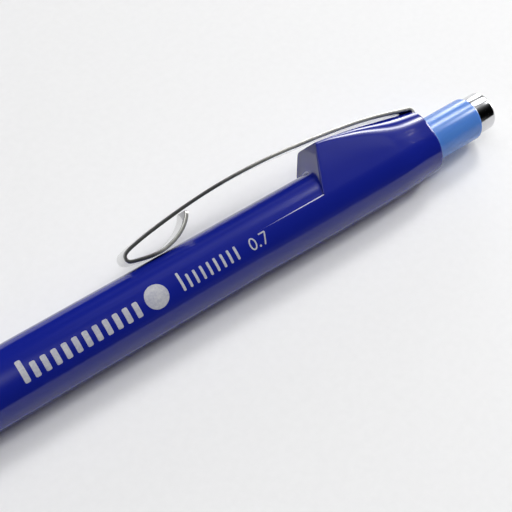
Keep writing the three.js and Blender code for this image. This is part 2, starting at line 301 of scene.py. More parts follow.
class N:
    """Small helper to chain shader nodes."""

    def __init__(self, nt):
        self.nt = nt
        self.tc = nt.nodes.new("ShaderNodeTexCoord")

    def link(self, a, b):
        self.nt.links.new(a, b)

    def mapping(self, scale=(1, 1, 1), rot=(0, 0, 0), loc=(0, 0, 0)):
        mp = self.nt.nodes.new("ShaderNodeMapping")
        mp.inputs["Scale"].default_value = scale
        mp.inputs["Rotation"].default_value = rot
        mp.inputs["Location"].default_value = loc
        self.link(self.tc.outputs["Object"], mp.inputs["Vector"])
        return mp.outputs[0]

    def noise(self, vec, scale, detail=3.0, rough=0.5, dist=0.0):
        n = self.nt.nodes.new("ShaderNodeTexNoise")
        n.inputs["Scale"].default_value = scale
        n.inputs["Detail"].default_value = detail
        n.inputs["Roughness"].default_value = rough
        n.inputs["Distortion"].default_value = dist
        self.link(vec, n.inputs["Vector"])
        return n.outputs["Fac"]

    def voronoi(self, vec, scale, feature="F1"):
        n = self.nt.nodes.new("ShaderNodeTexVoronoi")
        n.feature = feature
        n.inputs["Scale"].default_value = scale
        self.link(vec, n.inputs["Vector"])
        return n.outputs["Distance"]

    def wave(self, vec, scale, distortion=0.0, direction="X"):
        n = self.nt.nodes.new("ShaderNodeTexWave")
        n.wave_type = "BANDS"
        n.bands_direction = direction
        n.inputs["Scale"].default_value = scale
        n.inputs["Distortion"].default_value = distortion
        self.link(vec, n.inputs["Vector"])
        return n.outputs["Fac"]

    def ramp(self, fac, stops):
        r = self.nt.nodes.new("ShaderNodeValToRGB")
        el = r.color_ramp.elements
        while len(el) < len(stops):
            el.new(0.5)
        for e, (p, c) in zip(el, stops):
            e.position = p
            e.color = c if len(c) == 4 else (*c, 1)
        self.link(fac, r.inputs[0])
        return r.outputs[0]

    def rng(self, fac, a, b, lo=0.0, hi=1.0):
        r = self.nt.nodes.new("ShaderNodeMapRange")
        r.inputs["From Min"].default_value = lo
        r.inputs["From Max"].default_value = hi
        r.inputs["To Min"].default_value = a
        r.inputs["To Max"].default_value = b
        self.link(fac, r.inputs["Value"])
        return r.outputs[0]

    def math(self, op, a, b=None):
        n = self.nt.nodes.new("ShaderNodeMath")
        n.operation = op
        for i, v in enumerate((a, b)):
            if v is None:
                continue
            if isinstance(v, (int, float)):
                n.inputs[i].default_value = v
            else:
                self.link(v, n.inputs[i])
        return n.outputs[0]

    def mix(self, fac, a, b):
        n = self.nt.nodes.new("ShaderNodeMix")
        n.data_type = "RGBA"
        if isinstance(fac, (int, float)):
            n.inputs[0].default_value = fac
        else:
            self.link(fac, n.inputs[0])
        for i, v in ((6, a), (7, b)):
            if isinstance(v, tuple):
                n.inputs[i].default_value = v if len(v) == 4 else (*v, 1)
            else:
                self.link(v, n.inputs[i])
        return n.outputs[2]

    def bump(self, height, distance, strength=1.0, normal=None):
        n = self.nt.nodes.new("ShaderNodeBump")
        n.inputs["Strength"].default_value = strength
        n.inputs["Distance"].default_value = distance
        self.link(height, n.inputs["Height"])
        if normal is not None:
            self.link(normal, n.inputs["Normal"])
        return n.outputs[0]


def moulded(name, dark, light, rough=(0.08, 0.16), ior=1.5, peel=6e-7, sub=0.0, sub_col=None, scratch=0.0, spec=0.5,
            transmission=0.0):
    """Glossy injection-moulded plastic: faint flow mottling, orange peel and hairline scratches."""
    mat, nt, b = node_mat(name)
    n = N(nt)
    v = n.mapping()
    flow = n.noise(n.mapping(scale=(60, 220, 220)), 1.0, 4, 0.6, 0.4)
    grain = n.noise(v, 2600, 2, 0.5)
    col = n.mix(n.rng(flow, 0.25, 0.75, 0.3, 0.7), dark, light)
    n.link(col, b.inputs["Base Color"])
    smear = n.noise(n.mapping(scale=(180, 900, 900), loc=(0.3, 0.1, 0.2)), 1.0, 5, 0.65, 0.8)
    n.link(n.rng(smear, rough[0], rough[1], 0.35, 0.72), b.inputs["Roughness"])
    peel_h = n.noise(v, 900, 2, 0.45)
    nrm = n.bump(peel_h, peel)
    nrm = n.bump(grain, peel * 0.12, normal=nrm)
    if scratch > 0:
        s = n.voronoi(n.mapping(scale=(90, 1500, 1100), rot=(0.3, 0.2, 0.35)), 1.0, "DISTANCE_TO_EDGE")
        hair = n.rng(s, 1.0, 0.0, 0.0, 0.012)
        keep = n.rng(n.noise(n.mapping(loc=(0.7, 0.2, 0.4)), 240, 2, 0.5), 0.0, 1.0, 0.56, 0.64)
        nrm = n.bump(n.math("MULTIPLY", hair, keep), -scratch, normal=nrm)
    n.link(nrm, b.inputs["Normal"])
    b.inputs["IOR"].default_value = ior
    b.inputs["Specular IOR Level"].default_value = spec
    if sub > 0:
        b.inputs["Subsurface Weight"].default_value = sub
        b.inputs["Subsurface Radius"].default_value = sub_col or (1, 1, 1)
        b.inputs["Subsurface Scale"].default_value = 0.0012
    if transmission > 0:
        b.inputs["Transmission Weight"].default_value = transmission
    return mat


def metal(name, base, dark, rough=(0.1, 0.2), grain=(400, 6000, 6000), bump=2e-7, aniso=0.0, fine=3e-8):
    """Metal with directional grinding or turning marks."""
    mat, nt, b = node_mat(name)
    n = N(nt)
    g = n.noise(n.mapping(scale=grain), 1.0, 3, 0.6)
    spot = n.noise(n.mapping(loc=(0.2, 0.5, 0.1)), 420, 4, 0.6, 0.6)
    n.link(n.mix(n.rng(spot, 0.0, 1.0, 0.3, 0.75), base, dark), b.inputs["Base Color"])
    n.link(n.rng(n.math("ADD", n.math("MULTIPLY", g, 0.6), n.math("MULTIPLY", spot, 0.4)), rough[0], rough[1], 0.3, 0.7),
           b.inputs["Roughness"])
    nrm = n.bump(g, bump)
    nrm = n.bump(n.noise(n.mapping(), 5200, 2, 0.5), fine, normal=nrm)
    n.link(nrm, b.inputs["Normal"])
    b.inputs["Metallic"].default_value = 1.0
    b.inputs["Anisotropic"].default_value = aniso
    return mat


def rubber(name, dark, light, rough=(0.55, 0.75), scale=3200, bump=6e-6):
    mat, nt, b = node_mat(name)
    n = N(nt)
    v = n.mapping()
    big = n.noise(v, 160, 4, 0.6)
    small = n.noise(v, scale, 3, 0.6)
    cell = n.voronoi(v, scale * 0.9)
    n.link(n.mix(n.rng(big, 0.2, 0.8, 0.3, 0.7), dark, light), b.inputs["Base Color"])
    n.link(n.rng(big, rough[0], rough[1], 0.3, 0.7), b.inputs["Roughness"])
    nrm = n.bump(small, bump)
    nrm = n.bump(cell, bump * 0.6, normal=nrm)
    n.link(nrm, b.inputs["Normal"])
    b.inputs["Sheen Weight"].default_value = 0.15
    b.inputs["Sheen Roughness"].default_value = 0.5
    return mat


BLUE_D = (0.0072, 0.0140, 0.232)
BLUE_L = (0.0082, 0.0158, 0.250)
M = {
    "barrel": moulded("barrel_blue_plastic", BLUE_D, BLUE_L, rough=(0.07, 0.13), scratch=2.0e-6),
    "button": moulded("button_sky_plastic", (0.078, 0.222, 0.62), (0.086, 0.238, 0.66), rough=(0.20, 0.28),
                      sub=0.35, sub_col=(0.4, 0.7, 1.0), scratch=1.5e-6),
    "print": None,
    "clip_face": metal("clip_polished_steel", (0.72, 0.72, 0.71), (0.60, 0.60, 0.60), rough=(0.07, 0.16),
                       grain=(250, 5200, 5200)),
    "cap": metal("cap_bright_chrome", (0.70, 0.70, 0.71), (0.62, 0.62, 0.64), rough=(0.09, 0.15),
                 grain=(5200, 260, 260), bump=3e-8, fine=1e-8),
    "cone": metal("cone_satin_nickel", (0.62, 0.61, 0.59), (0.47, 0.46, 0.45), rough=(0.18, 0.32),
                  grain=(6500, 160, 160), bump=5e-7),
    "pipe": metal("pipe_drawn_steel", (0.60, 0.60, 0.61), (0.44, 0.44, 0.45), rough=(0.15, 0.3),
                  grain=(300, 7000, 7000)),
    "brass": metal("turned_brass", (0.72, 0.52, 0.22), (0.56, 0.38, 0.14), rough=(0.18, 0.36), grain=(6500, 200, 200),
                   bump=5e-7),
    "spring": metal("spring_wire_steel", (0.58, 0.58, 0.58), (0.40, 0.40, 0.40), rough=(0.2, 0.35),
                    grain=(2500, 2500, 2500)),
    "grip": rubber("grip_rubber_blue", (0.008, 0.012, 0.050), (0.013, 0.019, 0.075)),
    "black_rubber": rubber("black_bush_rubber", (0.012, 0.012, 0.012), (0.03, 0.03, 0.03)),
    "eraser": rubber("eraser_white_vinyl", (0.72, 0.71, 0.67), (0.80, 0.79, 0.76), rough=(0.6, 0.8), bump=3e-6),
    "tube": moulded("reservoir_tube_plastic", (0.62, 0.66, 0.72), (0.70, 0.74, 0.80), rough=(0.2, 0.32), sub=0.3),
    "white": moulded("white_acetal_plastic", (0.70, 0.70, 0.68), (0.78, 0.78, 0.76), rough=(0.28, 0.42), sub=0.2),
}


def graphite():
    mat, nt, b = node_mat("graphite_lead")
    n = N(nt)
    g = n.noise(n.mapping(scale=(900, 5000, 5000)), 1.0, 4, 0.6)
    n.link(n.mix(n.rng(g, 0, 1, 0.3, 0.7), (0.018, 0.018, 0.020), (0.075, 0.075, 0.080)), b.inputs["Base Color"])
    n.link(n.rng(g, 0.32, 0.55, 0.3, 0.7), b.inputs["Roughness"])
    n.link(n.bump(g, 2e-6), b.inputs["Normal"])
    b.inputs["Metallic"].default_value = 0.35
    return mat


def print_ink():
    """White pad print: thin, slightly uneven, a hint of the blue below where the ink is thin."""
    mat, nt, b = node_mat("white_print_ink")
    n = N(nt)
    v = n.mapping()
    thin = n.noise(v, 3400, 4, 0.7)
    wide = n.noise(n.mapping(loc=(0.4, 0.3, 0.6)), 520, 3, 0.6)
    f = n.rng(n.math("ADD", n.math("MULTIPLY", thin, 0.6), n.math("MULTIPLY", wide, 0.4)), 0.0, 1.0, 0.36, 0.62)
    n.link(n.mix(f, (0.36, 0.37, 0.46), (0.55, 0.55, 0.57)), b.inputs["Base Color"])
    n.link(n.rng(thin, 0.32, 0.5, 0.3, 0.7), b.inputs["Roughness"])
    n.link(n.bump(thin, 1.5e-6), b.inputs["Normal"])
    return mat


def lip_painted_highlight():
    """Painted highlight: barrel plastic painted pale along a raised edge, fading out forward."""
    mat, nt, b = node_mat("barrel_lip_painted_highlight")
    n = N(nt)
    sep = nt.nodes.new("ShaderNodeSeparateXYZ")
    n.link(n.tc.outputs["Object"], sep.inputs[0])
    along = n.rng(sep.outputs[0], 0.0, 1.0, 0.0285, 0.0350)
    patchy = n.rng(n.noise(n.mapping(scale=(700, 3000, 3000)), 1.0, 3, 0.6), 0.75, 1.0, 0.35, 0.65)
    # the pale colour mixed in along the lip is a painted highlight
    n.link(n.mix(n.math("MULTIPLY", along, patchy), BLUE_L, (0.72, 0.72, 0.84)), b.inputs["Base Color"])
    b.inputs["Roughness"].default_value = 0.3
    n.link(n.bump(n.noise(n.mapping(), 3000, 3, 0.6), 8e-7), b.inputs["Normal"])
    return mat


M["lip"] = lip_painted_highlight()
for k in range(6):
    # the clip's sheared edge, rougher toward the root; its colour runs from painted shade at the front to a painted
    # highlight at the root
    e = k / 5
    M[f"clip_edge_{k}"] = metal(f"clip_edge_painted_shade_highlight_{k}", (0.27 + 0.53 * e, 0.27 + 0.53 * e, 0.27 + 0.49 * e),
                                (0.18 + 0.29 * e, 0.18 + 0.29 * e, 0.18 + 0.26 * e), rough=(0.26 + 0.04 * e, 0.36 + 0.1 * e),
                                grain=(3800, 900, 900), bump=1.2e-6)
M["lead"] = graphite()
M["print"] = print_ink()


def dress(obj, mats, body, node=None):
    if not isinstance(mats, (list, tuple)):
        mats = [mats]
    if len(obj.data.materials) != len(mats):
        obj.data.materials.clear()
        for mm in mats:
            obj.data.materials.append(mm)
    if body:
        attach(obj, body)
    if node:
        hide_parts(node)
    return obj


# ------------------------------------------------------------------- barrel
CREASE = rad(76.8)            # angle from the clip at which the raised lower shell begins
SHELL_R = cubic([98.0, 98.8, 100.0, 102, 106, 110.2, 117, 122.0, 124.0, 125.6, 127.0, 128.3, 129.5, 130.76],
                [4.600, 4.601, 4.620, 4.68, 4.76, 4.822, 4.835, 4.832, 4.80, 4.71, 4.60, 4.50, 4.43, 4.385])


def top_height(t):
    s = np.asarray(t, float) - 114.0
    return 7.74 - 0.0843 * s - 0.00462 * s * s


LEAN = rad(77.4)              # direction the hood's sides face
CHAMFER = rad(43.0)           # the band between top and side faces this way
CHAMFER_D = cubic([105, 113.5, 115, 116, 118, 120, 122, 124, 126, 129, 130.8],
                  [8.2, 8.09, 8.06, 8.0, 7.72, 7.38, 6.88, 6.34, 5.84, 5.36, 5.2])
SOFT = cubic([105, 113.5, 115, 116, 118, 120, 122, 124, 126, 129, 130.8], [60, 46, 38, 30, 20, 16, 14, 13, 13, 14, 15])


def outline_r(t, a):
    """Radius of the hood and rear shell at station t and angle a (radians, 0 at the clip)."""
    a = np.abs(np.asarray(a, float))
    rs, q = float(SHELL_R(t)), float(SOFT(t))
    top = float(top_height(t)) / np.maximum(np.cos(a), 0.05)
    band = float(CHAMFER_D(t)) / np.maximum(np.cos(a - CHAMFER), 0.05)
    side = np.where(a < LEAN, rs / np.maximum(np.cos(a - LEAN), 0.05), rs)
    return rs * ((rs / top) ** q + (rs / band) ** q + (rs / side) ** q) ** (-1 / q)


def face_t(h):
    """Front face of the hood: raked and slightly bulged."""
    return 109.85 + 0.41 * h + 0.0125 * h * h


def face_column(a):
    """Points (t, r) up the hood's front face in the plane at angle a: soft foot, rounded edge."""
    lo, hi = BARREL_R, 9.5
    for _ in range(44):
        md = 0.5 * (lo + hi)
        if float(outline_r(float(face_t(md * math.cos(a))), a)) > md:
            lo = md
        else:
            hi = md
    te, t0 = float(face_t(lo * math.cos(a))), float(face_t(BARREL_R * math.cos(a)))
    deg = math.degrees(a)
    foot = float(np.interp(deg, [0, 38, 64, 77], [0.85, 0.8, 0.3, 0.16]))
    edge = float(np.interp(deg, [0, 17, 30, 77], [0.16, 0.2, 0.42, 0.42]))
    f = fillet([(t0 - 1.8, BARREL_R), (t0, BARREL_R), (te, lo), (te + 1.6, float(outline_r(te + 1.6, a)))],
               [0, foot, edge, 0], 7, closed=False)
    low, up = f[1:9], f[9:17]
    mid = [low[-1] + (up[0] - low[-1]) * k / 9 for k in range(1, 9)]
    return np.vstack([low, mid, up])


def flat_cut(r, a):
    """Keeps the lower shell level with the barrel where the pencil lies (angle +120 degrees)."""
    d = (a - rad(120) + math.pi) % (2 * math.pi) - math.pi
    lim = np.where(np.abs(d) < rad(60), BARREL_R / np.maximum(np.cos(d), 0.3), 99)
    soft = np.clip(r - BARREL_R, 1e-6, 0.25) * 0.6
    h = np.maximum(soft - np.abs(r - lim), 0) / soft
    return np.minimum(r, lim) - h * h * soft / 4


def lip_width(t):
    """Angle over which the lower shell rises, a quarter round as high as the step."""
    return max(rad(0.35), (float(SHELL_R(min(t, 110.0))) - BARREL_R) / 4.7) if t > 98 else rad(0.35)


def build_barrel():
    nu, nl = 110, 96                     # columns per side above and below the crease
    half = [("u", j / (nu - 1)) for j in range(nu)]
    half += [("c", v) for v in (0.03, 0.1, 0.22, 0.38, 0.58, 0.8, 1.0)]
    half += [("l", j / nl) for j in range(1, nl + 1)]

    def angle(col, t):
        kind, v = col
        if kind == "u":
            return v * CREASE
        if kind == "c":
            return CREASE + v * lip_width(t)
        base = CREASE + lip_width(t)
        return base + v * (math.pi - base)

    cols = [(1, c) for c in half] + [(-1, c) for c in half[-2:0:-1]]

    def shell(t, kind, v):
        rs = float(SHELL_R(t)) if t > 98.0 else BARREL_R
        if kind == "c":
            return BARREL_R + (rs - BARREL_R) * math.sqrt(1 - (1 - v) ** 2)
        return rs

    t_base = float(face_t(BARREL_R * math.cos(CREASE)))
    front = fillet([(17.95, 3.0), (17.95, 3.6), (49.95, 3.6), (49.95, 4.6), (51.5, 4.6)],
                   [0.08, 0.08, 0.06, 0.16, 0], 3, closed=False)
    front = np.vstack([[(17.95, 3.0)], front[1:]])
    mid_t = np.r_[np.linspace(52.5, 97.0, 26), 98.0]
    nf = len(face_column(0.3))
    columns = []
    for side, col in cols:
        kind, v = col
        a_face = angle(col, 120.0)
        pts = [(t, r, angle(col, t)) for t, r in front]
        pts += [(t, BARREL_R, angle(col, t)) for t in mid_t]
        if kind == "u":
            face = face_column(a_face)
            assert len(face) == nf
        else:
            face = []
            for k in range(nf):
                t = t_base + 0.9 * k / (nf - 1)
                r = shell(t, kind, v)
                if kind == "c":
                    # the lip closes as the hood's side takes over
                    r += (float(SHELL_R(t)) - r) * min(1.0, k / 6)
                face.append((t, r))
        t0 = face[0][0]
        for s in np.linspace(0, 1, 36)[1:-1]:
            t = 98.0 + s * (t0 - 98.0)
            pts.append((t, BARREL_R if kind == "u" else shell(t, kind, v), angle(col, t)))
        pts += [(t, r, a_face) for t, r in face]
        t_start = face[-1][0]
        for s in np.linspace(0, 1, 62)[1:]:
            t = t_start + s * (REAR_X - 0.3 - t_start)
            pts.append((t, float(outline_r(t, a_face)), a_face))
        ro = float(outline_r(REAR_X - 0.3, a_face))
        tail = fillet([(REAR_X - 0.3, ro), (REAR_X, ro - 0.02), (REAR_X, 3.38), (113.2, 3.38), (113.2, 3.0), (100, 3.0)],
                      [0, 0.24, 0.14, 0.1, 0.1, 0], 5, closed=False)[1:-1]
        pts += [(t, r, a_face) for t, r in tail]
        pts += [(t, 3.0, angle(col, t)) for t in (110.0, 104.0, 98.0, 85.0, 70.0, 50.0, 30.0, 18.2)]
        arr = np.array(pts)
        arr[:, 2] *= side
        arr[:, 1] = np.where(arr[:, 1] > 3.7, flat_cut(arr[:, 1], arr[:, 2]), arr[:, 1])
        columns.append(arr)
    n = len(columns[0])
    assert all(len(c) == n for c in columns), sorted({len(c) for c in columns})
    G = np.stack(columns, 1)                 # n x m x 3
    P = polar(G[..., 0], G[..., 1], G[..., 2]).reshape(-1, 3)
    o = new_object("barrel_with_hood", P, grid_faces(n, len(columns), True, True), 34.0)
    notch = slab("cut_notch", 130.40, 131.4, -2.27, 2.27, 3.74, 9.0, 0.15)
    slot = slab("cut_slot", 127.75, 131.4, -1.7, 1.7, 3.74, 4.58, 0.12)
    boolean(o, [notch, slot], smooth_deg=34.0)
    # the lip of the lower shell is painted lighter along its edge, a painted highlight
    o.data.materials.append(M["barrel"])
    o.data.materials.append(M["lip"])
    for p in o.data.polygons:
        c = p.center
        y, z = c.y * 1e3 - AXIS_Y, c.z * 1e3 - AXIS_Z
        a = abs(math.atan2(C60 * y - S60 * z, S60 * y + C60 * z))
        t = c.x * 1e3 + LENGTH / 2
        if 99.5 < t < 110.25 and math.hypot(y, z) > 4.5:
            v = (a - CREASE) / lip_width(t)
            if 0.02 < v < 0.72:
                p.material_index = 1
    return o


barrel = build_barrel()
dress(barrel, [M["barrel"], M["lip"]], "body", "barrel")


def skin_r(t, a):
    """Outer radius of the barrel forward of the hood."""
    over = abs(a) - CREASE
    if t < 98.0 or over < 0:
        return BARREL_R
    v = min(1.0, over / lip_width(t))
    return BARREL_R + (float(SHELL_R(t)) - BARREL_R) * math.sqrt(1 - (1 - v) ** 2)


# --------------------------------------------------------------------- clip
CLIP_LINE = [
    (127.96, 4.15), (129.2, 4.15), (130.30, 4.15), (130.60, 4.20), (130.78, 4.34), (130.835, 4.6), (130.835, 4.95),
    (130.79, 5.27), (130.60, 5.48), (130.25, 5.60), (129.3, 5.83), (127.36, 6.32), (124.86, 6.88), (121.93, 7.42),
    (118.69, 7.88), (115.51, 8.24), (112.39, 8.54), (109.32, 8.79), (106.32, 8.955), (103.36, 9.03), (100.46, 9.02),
    (97.61, 8.915), (94.81, 8.71), (92.05, 8.43), (89.34, 8.09), (86.67, 7.69), (84.75, 7.33), (83.62, 7.05),
    (83.05, 6.76), (82.80, 6.37), (82.87, 5.96), (83.20, 5.66), (84.00, 5.42), (85.04, 5.19), (85.95, 5.03),
    (86.9, 4.94), (87.9, 4.97), (89.1, 5.20), (90.2, 5.56), (91.12, 6.01), (91.9, 6.55), (92.48, 7.10), (92.82, 7.55),
    (93.02, 8.02),
]


def build_clip():
    c = smooth_curve(CLIP_LINE, 0.11)
    L = np.r_[0, np.cumsum(np.linalg.norm(np.diff(c, axis=0), axis=1))]
    tan = np.gradient(c, axis=0)
    tan /= np.linalg.norm(tan, axis=1)[:, None]
    nor = np.stack([-tan[:, 1], tan[:, 0]], -1)
    w = np.where(L < 2.25, 1.5, np.where(L > 2.55, 2.05, 1.5 + 0.55 * (L - 2.25) / 0.3))
    # rounded free end
    e = np.clip((L[-1] - L) / 0.55, 0, 1)
    w = w * (1 - 0.16 * (1 - np.sqrt(1 - (1 - e) ** 2)))
    h = CLIP_T / 2
    er = 0.11
    # walk the section: corners in order, with extra points on the broad faces
    ring = []
    for idx, (su, sv, a0) in enumerate(((1, 1, 90), (1, -1, 0), (-1, -1, -90), (-1, 1, -180))):
        for k in range(5):
            a = rad(a0 - 90 * k / 4)
            ring.append(("corner", su, sv, math.cos(a) * er, math.sin(a) * er))
        if idx == 1:
            for f in (0.6, 0.2, -0.2, -0.6):
                ring.append(("flat", f, -1, 0, 0))
        if idx == 3:
            for f in (-0.6, -0.2, 0.2, 0.6):
                ring.append(("flat", f, 1, 0, 0))
    m = len(ring)
    P = np.zeros((len(c), m, 3))
    for j, (kind, su, sv, du, dv) in enumerate(ring):
        if kind == "corner":
            y = su * (w - er) + du
            off = sv * (h - er) + dv
        else:
            y = su * w
            off = np.full(len(c), sv * h)
        P[:, j, :] = row(c[:, 0] + nor[:, 0] * off, y, c[:, 1] + nor[:, 1] * off)
    verts = P.reshape(-1, 3)
    faces = grid_faces(len(c), m, False, True)
    faces.append(tuple(range(m)))
    faces.append(tuple((len(c) - 1) * m + k for k in range(m - 1, -1, -1)))
    o = new_object("clip_strip", verts, faces, 50.0)
    # sheared edges get their own material, with painted shade and a painted highlight in its colour
    me = o.data
    me.materials.clear()
    me.materials.append(M["clip_face"])
    for k in range(6):
        me.materials.append(M[f"clip_edge_{k}"])
    yl = Vector((0, C60, -S60))
    free_end = len(c) - 58
    for k, p in enumerate(me.polygons):
        if abs(p.normal.dot(yl)) > 0.72:
            # the shear is rougher toward the root; it is painted paler toward the root and at the free end, a painted
            # highlight
            t = p.center.x * 1e3 + LENGTH / 2
            e = max((t - 98) / 12, (k // m - free_end + 16) / 16)
            p.material_index = 1 + int(round(5 * min(1.0, max(0.0, e))))
    return o


clip = build_clip()
tuple(row(130.6, 0, 5.0))
tuple(row(116.0, 0, 5.0))
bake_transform(clip)
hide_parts("clip")

# ------------------------------------------------------------ button and cap
button = lathe("push_button_tube", fillet([
    (117.2, 2.27), (117.2, 3.2), (117.5, 3.31), (139.81, 3.31), (139.81, 2.78), (126.2, 2.78), (126.2, 1.75),
    (124.0, 1.75), (124.0, 2.27)], [0.1, 0.1, 0.2, 0.2, 0.12, 0.1, 0.08, 0.08, 0.1], 5), 144)
dress(button, M["button"], "button", "push_button")

cap = lathe("chrome_button_cap", fillet([
    (141.3, 0), (141.3, 2.3), (134.4, 2.3), (134.4, 2.66), (139.95, 2.66), (139.95, 2.96), (143.0, 2.96), (143.0, 0)],
    [0, 0.1, 0.1, 0.12, 0.05, 0.16, 0.42, 0], 7, closed=False), 144)
dress(cap, M["cap"], "cap", "button_cap")

eraser = lathe("eraser_stick", fillet([(127.35, 0), (127.35, 2.12), (140.4, 2.12), (140.4, 0)], [0, 0.15, 0.4, 0], 6,
                                      closed=False), 72)
dress(eraser, M["eraser"], "eraser", "eraser")
holder = lathe("eraser_holder_plug", fillet([
    (126.4, 0.6), (126.4, 2.68), (131.0, 2.68), (131.0, 2.22), (127.2, 2.22), (127.2, 0.6)], 0.08, 4), 96)
dress(holder, M["white"], "eraser", "eraser_holder")


# --------------------------------------------------------------------- grip
def build_grip():
    prof = [(17.95, 3.68), (17.95, 4.2), (18.3, 4.4), (20.0, 4.85), (21.0, 5.1)]
    rads = [0.1, 0.12, 0.3, 1.2, 1.0]
    t = 22.3
    for k in range(3):
        prof += [(t, 5.1), (t + 0.15, 4.42), (t + 0.75, 4.42), (t + 0.9, 5.1)]
        rads += [0.1, 0.12, 0.12, 0.1]
        t += 2.6
    prof += [(47.5, 5.1), (49.4, 4.7), (49.8, 4.5), (49.8, 3.68)]
    rads += [1.5, 0.3, 0.12, 0.1]
    line = densify(fillet(prof, rads, 5), 0.6)
    seg = 240
    a = np.arange(seg) * 2 * math.pi / seg
    G = np.zeros((len(line), seg, 2))
    for i, (tt, r) in enumerate(line):
        rr = np.full(seg, r)
        if r > 4.3:
            # soft three-sided section, the flats as deep as the barrel's own radius
            k = np.round(a / rad(120)) * rad(120)
            flat = BARREL_R / np.cos(a - k)
            q = 26.0
            rr = (r ** -q + flat ** -q) ** (-1 / q)
            rr = np.minimum(rr, np.minimum(r, flat))
        G[i, :, 0], G[i, :, 1] = tt, rr
    P = polar(G[..., 0], G[..., 1], a[None, :] * np.ones((len(line), 1))).reshape(-1, 3)
    return new_object("grip_rubber_sleeve", P, grid_faces(len(line), seg, True, True), 40.0)


grip = build_grip()
dress(grip, M["grip"], "body", "grip_sleeve")

# --------------------------------------------------------------------- nose
cone_prof = [(3.2, 0.62), (3.2, 1.15), (3.6, 1.45), (4.4, 1.75), (7.0, 2.45), (10.0, 3.05), (14.0, 3.75), (17.75, 4.2),
             (17.75, 2.9), (27.0, 2.9), (27.0, 2.35), (10.3, 2.35), (10.3, 1.5), (5.2, 1.5), (5.2, 0.62)]
cone = lathe("nose_cone", fillet(cone_prof, [0.08, 0.12, 0.3, 1.5, 8, 8, 8, 0.12, 0.1, 0.15, 0.1, 0.1, 0.1, 0.1, 0.08],
                                 5), 144)
dress(cone, M["cone"], "body", "front_cone")
pipe = lathe("lead_guide_pipe", fillet([(0, 0.4), (0, 0.55), (6.25, 0.55), (6.25, 0.4)], [0.03, 0.06, 0.04, 0.03], 4),
             64)
dress(pipe, M["pipe"], "pipe", "guide_pipe")
seat = lathe("pipe_seat", fillet([(5.3, 0.59), (5.3, 1.4), (7.9, 1.4), (7.9, 1.06), (6.35, 1.06), (6.35, 0.59)], 0.06,
                                 4), 64)
dress(seat, M["brass"], "pipe", "pipe_holder")
bush = lathe("lead_bush", fillet([(6.45, 0.38), (6.45, 1.0), (7.8, 1.0), (7.8, 0.38)], 0.08, 4), 64)
dress(bush, M["black_rubber"], "pipe", "lead_retainer")
lead = lathe("lead_in_use", fillet([(0.25, 0), (0.25, 0.345), (62, 0.345), (62, 0)], [0, 0.12, 0.05, 0], 5,
                                   closed=False), 40)
dress(lead, M["lead"], "lead", "lead")

# ---------------------------------------------------------------- mechanism
chuck = lathe("collet_chuck", fillet([
    (14.0, 0.42), (14.0, 1.85), (14.9, 2.0), (17.2, 1.25), (27.0, 1.2), (27.0, 0.42)],
    [0.06, 0.1, 0.25, 0.2, 0.08, 0.06], 4), 96)
boolean(chuck, [slab("cut_a", 13, 22, -0.15, 0.15, 0.01, 3, 0.02, rad(d)) for d in (0, 120, 240)])
dress(chuck, M["brass"], "button", "chuck")
ring = lathe("clutch_ring_sleeve", fillet([(15.4, 1.97), (15.4, 2.25), (17.55, 2.25), (17.55, 1.38), (17.15, 1.4)],
                                          0.05, 4), 96)
dress(ring, M["brass"], "ring", "clutch_ring")
housing = lathe("chuck_housing_sleeve", fillet([
    (17.8, 1.32), (17.8, 2.25), (27.3, 2.25), (27.3, 2.9), (29.3, 2.9), (29.3, 2.3), (33.0, 2.3), (33.0, 1.95),
    (18.8, 1.95), (18.8, 1.32)], 0.06, 4), 96)
dress(housing, M["white"], "body", "chuck_housing")
connector = lathe("chuck_tube_connector", fillet([
    (24.0, 1.26), (24.0, 1.48), (31.0, 1.48), (31.0, 1.85), (32.0, 1.85), (32.0, 1.62), (42.0, 1.62), (42.0, 1.2),
    (40.5, 0.5), (27.2, 0.5), (27.2, 1.26)], 0.05, 4), 96)
dress(connector, M["white"], "button", "chuck_connector")
tube = lathe("spare_lead_tube", fillet([(37.3, 1.7), (37.3, 2.2), (123.6, 2.2), (123.6, 1.7)], 0.1, 4), 96)
dress(tube, M["tube"], "button", "lead_reservoir")
for i, d in enumerate((87, 120, 153)):
    s = lathe(f"spare_lead_stick_{i + 1}", fillet([
        (52 + i, 0), (52 + i, 0.345), (112 + i, 0.345), (112 + i, 0)], [0, 0.06, 0.06, 0], 4, closed=False), 32,
        offset=(1.27 * math.sin(rad(d)), 1.27 * math.cos(rad(d))))
    dress(s, M["lead"], "button", f"spare_lead_{i + 1}")


def build_spring():
    n, k = 9 * 48, 12
    s = np.linspace(0, 1, n + 1)
    # even pitch from end to end
    prog = s
    a = 2 * math.pi * 9 * s
    t = 19.1 + 11.6 * prog
    centre = np.stack([t, 1.7 * np.sin(a), 1.7 * np.cos(a)], -1)
    d = np.gradient(centre, axis=0)
    d /= np.linalg.norm(d, axis=1)[:, None]
    radial = np.stack([np.zeros(n + 1), np.sin(a), np.cos(a)], -1)
    b = np.cross(d, radial)
    b /= np.linalg.norm(b, axis=1)[:, None]
    q = np.arange(k) * 2 * math.pi / k
    pts = centre[:, None, :] + 0.15 * (np.cos(q)[None, :, None] * radial[:, None, :] + np.sin(q)[None, :, None] *
                                        b[:, None, :])
    P = row(pts[..., 0], pts[..., 1], pts[..., 2]).reshape(-1, 3)
    faces = grid_faces(n + 1, k, False, True)
    faces.append(tuple(range(k)))
    faces.append(tuple(n * k + j for j in range(k - 1, -1, -1)))
    return new_object("return_spring_coil", P, faces, 60.0)


spring = build_spring()
dress(spring, M["spring"], "body", "return_spring")
tuple(float(v) for v in row(19.0, 0, 0))
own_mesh(spring)


